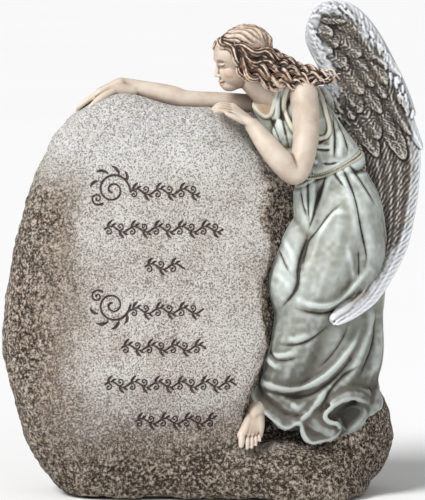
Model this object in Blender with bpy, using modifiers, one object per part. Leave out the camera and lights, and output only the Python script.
"""Cast-resin memorial figurine: an angel in a long gown leans over a rounded boulder.

The hollow boulder stands on four pads and is closed below by a plate. The figure is an assembly of castings:
skirt, bodice, head, hair, two arms, a foot and two wings, located on each other by steel pins.
+X is to the right seen from the front, +Y is away from the viewer and +Z is up. The design values are in
millimetres, and the origin is the bottom centre of the finished object.
"""

import math

import bmesh
import bpy
import numpy as np
from mathutils import Matrix, Vector

MM = 0.001

# Driving dimensions, in millimetres.
PAD_HEIGHT = 1.5  # the boulder's flat underside stands this far off the table
PAD_RADIUS = 7.0
WALL = 8.0  # thickness of the hollow boulder's shell
PLATE_THICKNESS = 3.0
PLATE_SEAT = 4.0  # width of the ledge that the plate is glued against
DRAIN_RADIUS = 4.0
GAP = 0.45  # glue gap between castings
PIN_CLEARANCE = 0.3

# The boulder's front outline, (x, z), clockwise from the highest point.
BOULDER_OUTLINE = [
    (-57, 242), (-42, 239), (-24, 234), (-4, 234), (10, 228), (23, 214), (35, 199), (49, 187),
    (57, 165), (59, 130), (58, 90), (54, 50), (42, 10), (10, -12), (-45, -14), (-79, -9), (-99, 8),
    (-113, 32), (-120, 55), (-127, 85), (-127, 110), (-122.5, 135), (-118.5, 160), (-111.5, 187),
    (-101, 210), (-87, 228), (-71, 238),
]
BOULDER_CENTRE = (-35, 115)
BOULDER_DEPTH = [(0, 45), (60, 43), (120, 40), (190, 34), (240, 26)]  # (z, half the depth)
# Centres of the row of spheres that scoops out the boulder's front where the figure stands.
SCOOP_RADIUS = 27
SCOOP_PATH = [
    (63, -33, 212), (60, -34, 190), (56, -35, 168), (60, -35, 150), (55, -35, 130), (58, -35, 108),
    (57, -35, 88), (51, -36, 70), (43, -38, 52), (40, -40, 34),
]

# (x, y, z, radius) of the rock that rises between the boulder and the figure's chest.
ROCK_BEHIND_FIGURE = [
    (12, 3, 215, 11), (24, 7, 216, 13), (33, 9, 203, 14), (40, 11, 165, 17), (40, 10, 120, 18),
]

# One wing's outline, (x, z), from the shoulder over the top, down the leading edge to the tip and back.
WING_OUTLINE = [
    (73, 246), (72, 255), (66, 266), (60.5, 275), (57.5, 283), (60, 291), (65, 295), (72, 296.5),
    (81, 294), (91, 286), (101, 273), (109, 258), (116.5, 240), (122.5, 220), (125.5, 204), (124.5, 188),
    (121.5, 171), (116.5, 154), (109.5, 140), (101.5, 128), (92, 118), (82, 110), (73, 105), (67, 104.5),
    (66.5, 110), (76, 118), (87, 130), (93, 144), (90, 160), (85, 178), (80, 196), (76, 213), (71, 232),
]
LEADING_EDGE_POINTS = 24  # how many of those points lie on the thick leading edge
# (z, y) of the near wing, which curls in front of the skirt, and of the far one, which curls behind it.
NEAR_WING_BEND = [(100, -38), (110, -33), (120, -26), (132, -16), (145, -6), (160, 1), (190, 6), (300, 12)]
FAR_WING_BEND = [(100, 42), (120, 40), (145, 36), (170, 32), (200, 29), (300, 29)]


def clear_scene():
    for obj in list(bpy.data.objects):
        bpy.data.objects.remove(obj)


def make_collection(name):
    made = bpy.data.collections.new(name)
    bpy.context.scene.collection.children.link(made)
    return made


def make_material(name, colour, roughness, metallic=0.0):
    material = bpy.data.materials.new(name)
    material.use_nodes = True
    shader = material.node_tree.nodes["Principled BSDF"]
    shader.inputs["Base Color"].default_value = (*colour, 1.0)
    shader.inputs["Roughness"].default_value = roughness
    shader.inputs["Metallic"].default_value = metallic
    return material


def smooth_curve(points, steps, closed=False):
    """Points on a Catmull-Rom curve through the given points, steps of them for each stretch."""
    knots = np.array(points, float)
    if closed:
        padded = np.vstack([knots[-1], knots, knots[:2]])
    else:
        padded = np.vstack([2 * knots[0] - knots[1], knots, 2 * knots[-1] - knots[-2]])
    made = []
    for before, start, end, after in zip(padded, padded[1:], padded[2:], padded[3:]):
        for step in range(steps):
            t = step / steps
            made.append(
                0.5 * (2 * start + (end - before) * t
                       + (2 * before - 5 * start + 4 * end - after) * t**2
                       + (3 * start - before - 3 * end + after) * t**3)
            )
    if not closed:
        made.append(knots[-1])
    return np.array(made)


class Shape:
    """Overlapping closed primitives that a voxel remesh joins into one soft casting. Sizes in millimetres."""

    def __init__(self):
        self.mesh = bmesh.new()

    def ellipsoid(self, centre, radii, turn=None, segments=20):
        turn = Matrix.Identity(4) if turn is None else turn.to_4x4()
        matrix = Matrix.Translation(Vector(centre) * MM) @ turn
        matrix = matrix @ Matrix.Diagonal((*(Vector(radii) * MM), 1.0))
        bmesh.ops.create_uvsphere(
            self.mesh, u_segments=segments, v_segments=segments // 2, radius=1.0, matrix=matrix
        )
        return self

    def limb(self, stations, steps=8):
        """A smooth tapering limb through (x, y, z, radius) stations."""
        for x, y, z, radius in smooth_curve(stations, steps):
            self.ellipsoid((x, y, z), (radius,) * 3, segments=12)
        return self

    def loft(self, stations, segments=40, steps=6):
        """A body through (x, y, z, half width, half depth) rings, square to its own line in the XZ plane."""
        rings = smooth_curve(stations, steps)
        tangents = np.gradient(rings[:, :3], axis=0)
        made = bmesh.ops.create_uvsphere(
            self.mesh, u_segments=segments, v_segments=len(rings) + 1, radius=1.0
        )
        order = sorted({round(v.co.z, 5) for v in made["verts"]}, reverse=True)
        for vertex in made["verts"]:
            level = order.index(round(vertex.co.z, 5))
            at = min(max(level - 1, 0), len(rings) - 1)
            x, y, z, width, depth = rings[at]
            along = Vector((tangents[at][0], 0, tangents[at][2])).normalized()
            across = Vector((along.z, 0, -along.x))
            flat = Vector((vertex.co.x, vertex.co.y))
            flat = flat.normalized() if 0 < level < len(rings) + 1 else Vector((0, 0))
            vertex.co = (Vector((x, y, z)) + across * flat.x * width + Vector((0, flat.y * depth, 0))) * MM
        bmesh.ops.recalc_face_normals(self.mesh, faces=self.mesh.faces[:])
        return self

    def add(self, mesh_data):
        self.mesh.from_mesh(mesh_data)
        return self

    def casting(self, name, voxel, smoothing, triangles):
        """Joins the primitives, softens the joins and thins the mesh to about this many triangles."""
        data = bpy.data.meshes.new(name)
        self.mesh.to_mesh(data)
        self.mesh.free()
        obj = bpy.data.objects.new(name, data)
        PARTS.objects.link(obj)
        remesh = obj.modifiers.new("join", "REMESH")
        remesh.mode = "VOXEL"
        remesh.voxel_size = voxel * MM
        soften = obj.modifiers.new("soften", "SMOOTH")
        soften.iterations = smoothing
        apply_modifiers(obj)
        thin(obj, triangles)
        return obj


def apply_modifiers(obj):
    bpy.context.view_layer.update()
    graph = bpy.context.evaluated_depsgraph_get()
    made = bpy.data.meshes.new_from_object(obj.evaluated_get(graph))
    obj.modifiers.clear()
    obj.data = made


def thin(obj, triangles):
    """Triangulates the mesh and collapses it to about this many triangles."""
    have = sum(len(face.vertices) - 2 for face in obj.data.polygons)
    if have > triangles:
        decimate = obj.modifiers.new("thin", "DECIMATE")
        decimate.ratio = triangles / have
        apply_modifiers(obj)
    keep_largest_body(obj)


def keep_largest_body(obj):
    """Drops the slivers that a cut can leave beside the casting."""
    mesh = bmesh.new()
    mesh.from_mesh(obj.data)
    unseen = set(mesh.verts)
    bodies = []
    while unseen:
        body, front = set(), [unseen.pop()]
        while front:
            vertex = front.pop()
            body.add(vertex)
            for edge in vertex.link_edges:
                other = edge.other_vert(vertex)
                if other in unseen:
                    unseen.remove(other)
                    front.append(other)
        bodies.append(body)
    largest = max(bodies, key=len)
    stray = [v for body in bodies if body is not largest for v in body]
    bmesh.ops.delete(mesh, geom=stray, context="VERTS")
    mesh.to_mesh(obj.data)
    mesh.free()


def grown(obj, name, distance, cutter=True):
    """A copy of a casting, grown by this many millimetres along its normals."""
    data = obj.data.copy()
    normals = [v.normal.copy() for v in data.vertices]
    for vertex, normal in zip(data.vertices, normals):
        vertex.co += normal * distance * MM
    return as_object(name, data, cutter)


def shrunk(obj, name, distance, cutter=True):
    """A copy of a casting, this many millimetres inside it, evened out so that it doesn't cross itself."""
    made = grown(obj, name, -distance, cutter)
    even = made.modifiers.new("even", "REMESH")
    even.mode = "VOXEL"
    even.voxel_size = 4 * MM
    apply_modifiers(made)
    thin(made, 500)
    return made


def subtract(obj, *cutters):
    for cutter in cutters:
        cut = obj.modifiers.new("cut", "BOOLEAN")
        cut.operation = "DIFFERENCE"
        cut.solver = "EXACT"
        cut.object = cutter
        apply_modifiers(obj)
    keep_largest_body(obj)


def fit_against(obj, *neighbours):
    """Cuts the casting back so that it seats on its neighbours with the glue gap."""
    subtract(obj, *[grown(neighbour, "cutter_" + neighbour.name, GAP) for neighbour in neighbours])


def as_object(name, data, cutter=False):
    obj = bpy.data.objects.new(name, data)
    (CUTTERS if cutter else PARTS).objects.link(obj)
    if cutter:
        obj.hide_render = True
        obj.display_type = "WIRE"
    return obj


def finish(name, mesh, cutter=False):
    data = bpy.data.meshes.new(name)
    mesh.to_mesh(data)
    mesh.free()
    return as_object(name, data, cutter)


def cylinder(name, start, end, radius, segments=20, cutter=False):
    start, end = Vector(start) * MM, Vector(end) * MM
    axis = end - start
    matrix = Matrix.Translation((start + end) / 2) @ axis.to_track_quat("Z", "Y").to_matrix().to_4x4()
    mesh = bmesh.new()
    bmesh.ops.create_cone(
        mesh, cap_ends=True, segments=segments, radius1=radius * MM, radius2=radius * MM,
        depth=axis.length, matrix=matrix,
    )
    return finish(name, mesh, cutter)


def box(name, bottom, top):
    """A box wider than the whole object, between two heights."""
    mesh = bmesh.new()
    bmesh.ops.create_cube(mesh, size=1.0)
    for vertex in mesh.verts:
        height = top if vertex.co.z > 0 else bottom
        vertex.co = Vector((vertex.co.x * 400, vertex.co.y * 200, height)) * MM
    return finish(name, mesh, cutter=True)


def keep_between(obj, bottom, top):
    subtract(obj, box("cutter_below", -80, bottom), box("cutter_above", top, 400))


def pin(name, start, end, radius, *hosts):
    """A steel dowel, and the bore for it in each casting that it joins."""
    start, end = Vector(start), Vector(end)
    spare = (end - start).normalized() * PIN_CLEARANCE
    bore = cylinder(name + "_bore", start - spare, end + spare, radius + PIN_CLEARANCE, cutter=True)
    for host in hosts:
        subtract(host, bore)
    made = cylinder(name, start, end, radius)
    made.data.materials.append(STEEL)
    return made


def boulder_blob():
    """A squarish ellipsoid whose front outline is the boulder's, as a mesh."""
    outline = smooth_curve(BOULDER_OUTLINE, 8, closed=True) - BOULDER_CENTRE
    angles = np.arctan2(outline[:, 1], outline[:, 0])
    order = np.argsort(angles)
    reach = np.hypot(outline[:, 0], outline[:, 1])[order]
    angles = angles[order]
    heights, depths = zip(*BOULDER_DEPTH)
    squareness = 0.62
    mesh = bmesh.new()
    bmesh.ops.create_uvsphere(mesh, u_segments=72, v_segments=36, radius=1.0)
    for vertex in mesh.verts:
        # The sphere's poles become the middles of the front and back faces.
        x, z, front = vertex.co.x, vertex.co.y, vertex.co.z
        angle = math.atan2(z, x)
        rim = math.hypot(x, z) ** squareness
        out = np.interp(angle, angles, reach, period=2 * math.pi) * rim
        x = BOULDER_CENTRE[0] + out * math.cos(angle)
        z = BOULDER_CENTRE[1] + out * math.sin(angle)
        depth = np.interp(z, heights, depths)
        y = math.copysign(abs(front) ** squareness, front) * depth
        vertex.co = Vector((x, -1 - y, z)) * MM
    bmesh.ops.recalc_face_normals(mesh, faces=mesh.faces[:])
    data = bpy.data.meshes.new("boulder_blob")
    mesh.to_mesh(data)
    mesh.free()
    return data


def make_rock_shell():
    """The boulder with its plinth, hollow and open below, and the plate that closes it."""
    boulder = Shape().add(boulder_blob()).casting("boulder", 3.0, 2, 5000)
    scoop = Shape().limb([(*at, SCOOP_RADIUS) for at in SCOOP_PATH], 3).casting("scoop", 3.0, 1, 1500)
    subtract(boulder, scoop)
    shape = Shape().add(boulder.data).limb(ROCK_BEHIND_FIGURE)
    for used in (boulder, scoop):
        bpy.data.objects.remove(used)
    shape.ellipsoid((38, -3, 16), (58, 47, 22))  # plinth
    shape.ellipsoid((50, -6, 8), (44, 44, 25))
    shape.ellipsoid((78.5, 4, 37), (28.5, 34, 37))  # mound at the right-hand end
    shape.ellipsoid((22, -27, 15), (32, 21, 17))  # lip in front of the foot
    solid = shape.casting("rock_shell", 3.0, 4, 1800)
    cavity = shrunk(solid, "cutter_cavity", WALL)
    recess = shrunk(solid, "cutter_seat", WALL - PLATE_SEAT)
    plate = grown(recess, "base_plate", -GAP, cutter=False)
    keep_between(plate, PAD_HEIGHT, PAD_HEIGHT + PLATE_THICKNESS)
    keep_between(recess, PAD_HEIGHT - 2, PAD_HEIGHT + PLATE_THICKNESS + GAP)
    subtract(solid, box("cutter_floor", -80, PAD_HEIGHT), recess, cavity)
    subtract(plate, cylinder("cutter_drain", (0, -1, 0), (0, -1, 10), DRAIN_RADIUS, cutter=True))
    return solid, plate


def make_pads():
    corners = [(-72, -17), (72, -17), (-72, 18), (72, 18)]
    return [
        cylinder(f"foot_pad_{number}", (x, y, 0), (x, y, PAD_HEIGHT - 0.1), PAD_RADIUS)
        for number, (x, y) in enumerate(corners, start=1)
    ]


def make_skirt():
    shape = Shape()
    shape.loft([
        (72, -2, 194, 19, 16), (73, -2, 184, 22, 19), (75, -2, 171, 26, 22), (74, -3, 156, 29, 24),
        (73, -4, 138, 30, 25), (71, -4, 120, 31, 25), (69, -5, 104, 32, 26), (67, -6, 87, 34, 27),
        (64, -7, 72, 32, 28), (62, -8, 58, 29, 27), (66, -8, 46, 22, 22), (68, -9, 37, 12, 14),
    ])
    # Near leg, far leg, the hem's dip in front and its roll at the right.
    shape.limb([(76, -9, 172, 19), (70, -14, 148, 20), (60, -20, 126, 19), (53, -22, 106, 16.5),
                (46, -23, 86, 16.5), (40, -23, 70, 14.5)])
    shape.limb([(62, 0, 167, 15), (51, -12, 150, 14), (44.5, -21, 129, 14), (48, -21, 112, 12.5),
                (43.5, -21, 88, 14), (38, -21, 71, 13)])
    shape.limb([(40, -26, 62, 8), (52, -28, 54, 8), (62, -29, 46, 8), (68, -30, 42, 7)])
    shape.limb([(90, -8, 64, 9), (93, -14, 57, 8), (86, -20, 51, 8), (78, -24, 46, 7)])
    return shape.casting("skirt", 2.2, 3, 1500)


def make_bodice():
    shape = Shape()
    shape.loft([
        (73, -2, 194, 19, 15.5), (70, -2, 203, 17, 15), (63, -1, 213, 16, 15.5), (56, -1, 223, 16.5, 17),
        (49, 0, 232, 15, 16), (44, 0, 239, 10, 11),
    ])
    shape.limb([(31, -5, 234, 8.5), (38, -4, 224, 9.5), (46, -4, 212, 11)])  # upper chest
    shape.ellipsoid((44, -11, 219), (9, 8, 10))  # bust
    shape.ellipsoid((52, 11, 234), (10, 9, 8))  # far shoulder
    shape.ellipsoid((64, 8, 232), (9, 10, 14))  # shoulder blades, where the wings seat
    return shape.casting("bodice", 1.8, 4, 700)


HEAD_CENTRE = Vector((14.4, -6, 260.2))
HEAD_YAW, HEAD_PITCH = math.radians(18), math.radians(12)


def head_axes():
    """Forward, left and up of the head, which looks along -X, turned to the viewer and bowed."""
    level = Vector((-math.cos(HEAD_YAW), -math.sin(HEAD_YAW), 0))
    forward = level * math.cos(HEAD_PITCH) - Vector((0, 0, math.sin(HEAD_PITCH)))
    up = level * math.sin(HEAD_PITCH) + Vector((0, 0, math.cos(HEAD_PITCH)))
    return forward, up.cross(forward), up


def on_head(forward, left, up):
    """A point given in the head's own directions."""
    f, s, u = head_axes()
    return HEAD_CENTRE + f * forward + s * left + u * up


def make_head():
    turn = Matrix(head_axes()).transposed()
    shape = Shape()
    shape.ellipsoid(on_head(-2, 0, 5), (16.4, 13.0, 13.6), turn, 28)
    shape.ellipsoid(on_head(3.6, 0, -4), (10.4, 10.0, 11.4), turn, 28)
    shape.ellipsoid(on_head(7.6, 0, -11.4), (6.2, 5.6, 4.5), turn)
    shape.limb([(*on_head(12.6, 0, 4.2), 1.3), (*on_head(15.4, 0, -4.1), 1.5)], 6)
    shape.limb([(*on_head(-2, 0, -5), 8), (27, -8, 245, 8.6), (34, -7, 238, 9.4), (42, -4, 231, 10.2)])
    return shape.casting("head", 0.9, 3, 1000)


def make_hair():
    turn = Matrix(head_axes()).transposed()
    shape = Shape()
    shape.ellipsoid(on_head(-5.2, 0, 7.2), (18.0, 15.4, 14.8), turn, 28)
    for side in (1, -1):
        temple, ear = (*on_head(5, 12 * side, 6), 3.5), (*on_head(-2, 13 * side, 0), 4.6)
        shape.limb([temple, ear, (*on_head(-10, 11 * side, -6), 6)])
    shape.limb([(26, -5, 262, 12), (38, -6, 255, 9.5), (50, -7, 252, 7), (62, -8, 250, 5.5),
                (77, -9, 250, 3.5)])
    shape.limb([(22, -13, 256, 7), (32, -15, 250, 7), (44, -16, 247, 6), (54, -16, 244, 4.5)])
    shape.limb([(32, 4, 258, 8), (44, 8, 252, 7.5), (58, 12, 243, 5)])
    return shape.casting("hair", 1.3, 2, 900)


def finger(shape, knuckle, middle, tip, radius):
    shape.limb([(*knuckle, radius * 1.15), (*middle, radius), (*tip, radius * 0.82)], 5)


def make_left_arm():
    shape = Shape()
    shape.limb([(53, -13, 241, 8.4), (54, -17, 230, 8.2), (54, -22, 216, 7.8), (51, -27, 204, 7.4),
                (47.5, -29.5, 196.5, 7.2), (40, -30, 202, 7.4), (31, -28, 212, 6.6), (22.5, -24, 223, 5.0)])
    for step in range(3):  # the back of the hand
        spread = 2.2 * (step - 1)
        wrist = (21.5, -24 + spread * 0.7, 225.5, 3.2)
        shape.limb([wrist, (10, -19 + spread * 1.3, 232.5 + spread * 0.6, 2.6)], 6)
    for step in range(4):
        fan = step - 1.5
        knuckle = (10.5, -19.5 + 2.6 * fan, 232.6 + 1.3 * fan)
        middle = (4.5 - 0.6 * abs(fan), -19.8 + 3.3 * fan, 234 + 1.1 * fan)
        tip = (-0.6 + 0.9 * abs(fan), -19.8 + 3.9 * fan, 233.5 + 0.8 * fan)
        finger(shape, knuckle, middle, tip, 1.75)
    finger(shape, (17, -24, 226), (11.5, -25.5, 229), (7, -25.5, 231), 1.8)
    return shape.casting("left_arm", 0.9, 2, 1100)


def make_right_arm():
    shape = Shape()
    shape.limb([(46, 8, 231, 6.4), (28, 6, 234, 5.8), (6, 4, 236.4, 5.2), (-16, 2, 237.6, 5.3),
                (-26, 2, 240, 5.9), (-40, 3, 243.2, 5.3), (-56, 3, 247.2, 3.6)])
    for step in range(3):
        spread = 2.2 * (step - 1)
        shape.limb([(-57, 3 + spread * 0.6, 247, 3.2), (-69, 1 + spread * 1.4, 241, 2.7)], 6)
    for step in range(4):
        fan = step - 1.5
        knuckle = (-69, 0.8 + 2.8 * fan, 241.4)
        middle = (-76.5 - 0.4 * fan, -0.2 + 3.2 * fan, 236.6 - 0.8 * fan)
        tip = (-82.5 - 0.4 * fan, -1 + 3.5 * fan, 231.6 - 1.0 * fan)
        finger(shape, knuckle, middle, tip, 1.7)
    finger(shape, (-62, -2.5, 243), (-69, -6.5, 237), (-74, -8, 232.5), 1.9)
    return shape.casting("right_arm", 0.9, 2, 1000)


def make_foot():
    shape = Shape()
    shape.limb([(29, -18, 66, 5.6), (26.5, -24, 57, 5.6), (23.5, -31, 49, 6.2), (22, -36, 42.5, 6.0)])
    shape.ellipsoid((22, -38, 40), (7.6, 6, 4.6))
    for step in range(5):
        along = step / 4
        base = (17 + 10 * along, -41 + 2.5 * along**2, 39.2)
        tip = (16.8 + 11.4 * along, -46.5 + 4.5 * along**2, 35.6 + 0.8 * along)
        radius = 2.5 - 1.1 * math.sqrt(along) + 0.2 * along
        finger(shape, base, ((base[0] + tip[0]) / 2, (base[1] + tip[1]) / 2 - 0.3, 38.3), tip, radius)
    return shape.casting("foot", 0.8, 2, 600)


def wing_plate(outline, bend, half_thickness):
    """A flat plate of the wing's outline with rounded edges, bent to (z, y) stations, as a mesh."""
    curve = bpy.data.curves.new("wing_outline", "CURVE")
    curve.dimensions = "2D"
    curve.fill_mode = "BOTH"
    curve.extrude = half_thickness * MM
    spline = curve.splines.new("POLY")
    spline.points.add(len(outline) - 1)
    spline.use_cyclic_u = True
    for point, (x, z) in zip(spline.points, outline):
        point.co = (x * MM, z * MM, 0, 1)
    guide = bpy.data.objects.new("wing_guide", curve)
    CUTTERS.objects.link(guide)
    bpy.context.view_layer.update()
    graph = bpy.context.evaluated_depsgraph_get()
    flat = bpy.data.meshes.new_from_object(guide.evaluated_get(graph))
    bpy.data.objects.remove(guide)
    mesh = bmesh.new()
    mesh.from_mesh(flat)
    bmesh.ops.remove_doubles(mesh, verts=mesh.verts, dist=0.01 * MM)
    bmesh.ops.recalc_face_normals(mesh, faces=mesh.faces[:])
    mesh.to_mesh(flat)
    mesh.free()
    even = bpy.data.objects.new("wing_even", flat)
    CUTTERS.objects.link(even)
    grid = even.modifiers.new("grid", "REMESH")
    grid.mode = "VOXEL"
    grid.voxel_size = 1.5 * MM
    apply_modifiers(even)
    heights, depths = zip(*bend)
    for vertex in even.data.vertices:
        x, z, thickness = vertex.co
        vertex.co = (x, np.interp(z / MM, heights, depths) * MM - thickness, z)
    data = even.data
    bpy.data.objects.remove(even)
    even_mesh = bmesh.new()
    even_mesh.from_mesh(data)
    bmesh.ops.recalc_face_normals(even_mesh, faces=even_mesh.faces[:])
    even_mesh.to_mesh(data)
    even_mesh.free()
    return data


def make_wing(name, outline, bend, rim_radii, root, triangles):
    """A bent plate with a thick rounded leading edge."""
    closed = smooth_curve(outline, 4, closed=True)
    shape = Shape().add(wing_plate(closed, bend, 2.4))
    heights, depths = zip(*bend)
    rim = []
    middle = Vector((100, 200))
    for at, (x, z) in enumerate(outline[:LEADING_EDGE_POINTS]):
        share = at / (LEADING_EDGE_POINTS - 1)
        radius = np.interp(share, *zip(*rim_radii))
        inward = (middle - Vector((x, z))).normalized() * radius
        rim.append((x + inward.x, np.interp(z, heights, depths), z + inward.y, radius))
    shape.limb(rim, 4)
    shape.ellipsoid(*root)
    return shape.casting(name, 1.6, 3, triangles)


def scaled_outline(outline, share, about):
    return [(about[0] + (x - about[0]) * share, about[1] + (z - about[1]) * share) for x, z in outline]


def recentre():
    """Puts the origin at the bottom centre of the finished object's box."""
    corners = [v.co for obj in PARTS.objects for v in obj.data.vertices]
    low = Vector([min(c[axis] for c in corners) for axis in range(3)])
    high = Vector([max(c[axis] for c in corners) for axis in range(3)])
    shift = Matrix.Translation((-(low.x + high.x) / 2, -(low.y + high.y) / 2, -low.z))
    for obj in PARTS.objects:
        obj.data.transform(shift)


def main():
    rock, plate = make_rock_shell()
    pads = make_pads()
    skirt, bodice, head, hair = make_skirt(), make_bodice(), make_head(), make_hair()
    left_arm, right_arm, foot = make_left_arm(), make_right_arm(), make_foot()
    rim = [(0, 6), (0.2, 6.5), (0.45, 4.5), (0.8, 4), (1, 3.2)]
    near_root = ((77, 8, 234), (9, 5.5, 16))
    far_root = ((72, 22, 232), (8, 10, 13))
    far_outline = scaled_outline(WING_OUTLINE, 0.93, (74, 226))
    left_wing = make_wing("left_wing", WING_OUTLINE, NEAR_WING_BEND, rim, near_root, 900)
    right_wing = make_wing("right_wing", far_outline, FAR_WING_BEND, rim, far_root, 700)

    fit_against(skirt, rock)
    fit_against(bodice, rock, skirt)
    fit_against(head, bodice, rock)
    fit_against(left_arm, rock, bodice, head)
    fit_against(right_arm, rock, bodice, head)
    fit_against(foot, rock, skirt)
    fit_against(hair, head, bodice, left_arm, right_arm)
    fit_against(left_wing, skirt, bodice, hair)
    fit_against(right_wing, skirt, bodice, hair, left_wing)

    pin("waist_pin", (72, -2, 182), (68, -2, 207), 2.5, skirt, bodice)
    pin("neck_pin", (46, -1, 224), (29, -6.5, 248), 1.8, bodice, head)
    pin("left_arm_pin", (58, -2, 233), (53, -12, 238), 1.8, bodice, left_arm)
    pin("right_arm_pin", (54, 8, 229), (36, 7, 232), 1.6, bodice, right_arm)
    pin("left_wing_pin_upper", (60, 5, 238), (78, 8.5, 240), 1.4, bodice, left_wing)
    pin("left_wing_pin_lower", (62, 5, 226), (78, 7.5, 226), 1.4, bodice, left_wing)
    pin("right_wing_pin_upper", (62, 10, 236), (72, 25, 239), 1.4, bodice, right_wing)
    pin("right_wing_pin_lower", (62, 9, 226), (73, 25, 228), 1.4, bodice, right_wing)
    pin("foot_pin", (25, -30, 50), (34, -19, 69), 1.5, foot, skirt, rock)
    pin("skirt_pin_front", (62, -12, 22), (62, -12, 52), 2.0, rock, skirt)
    pin("skirt_pin_rear", (72, 8, 30), (72, 6, 85), 2.0, rock, skirt)

    for obj in [rock, plate]:
        obj.data.materials.append(make_material("stone_resin", (0.45, 0.41, 0.35), 0.85))
    for obj in pads:
        obj.data.materials.append(make_material("felt", (0.12, 0.11, 0.10), 0.95))
    for obj in [skirt, bodice]:
        obj.data.materials.append(make_material("gown_paint", (0.50, 0.52, 0.42), 0.55))
    for obj in [head, left_arm, right_arm, foot]:
        obj.data.materials.append(make_material("skin_paint", (0.72, 0.58, 0.47), 0.45))
    hair.data.materials.append(make_material("hair_paint", (0.36, 0.18, 0.10), 0.5))
    for obj in [left_wing, right_wing]:
        obj.data.materials.append(make_material("wing_paint", (0.35, 0.31, 0.26), 0.6))
    recentre()


clear_scene()
PARTS = make_collection("angel_figurine")
CUTTERS = make_collection("cutters")
STEEL = make_material("steel", (0.55, 0.55, 0.56), 0.35, 1.0)
main()
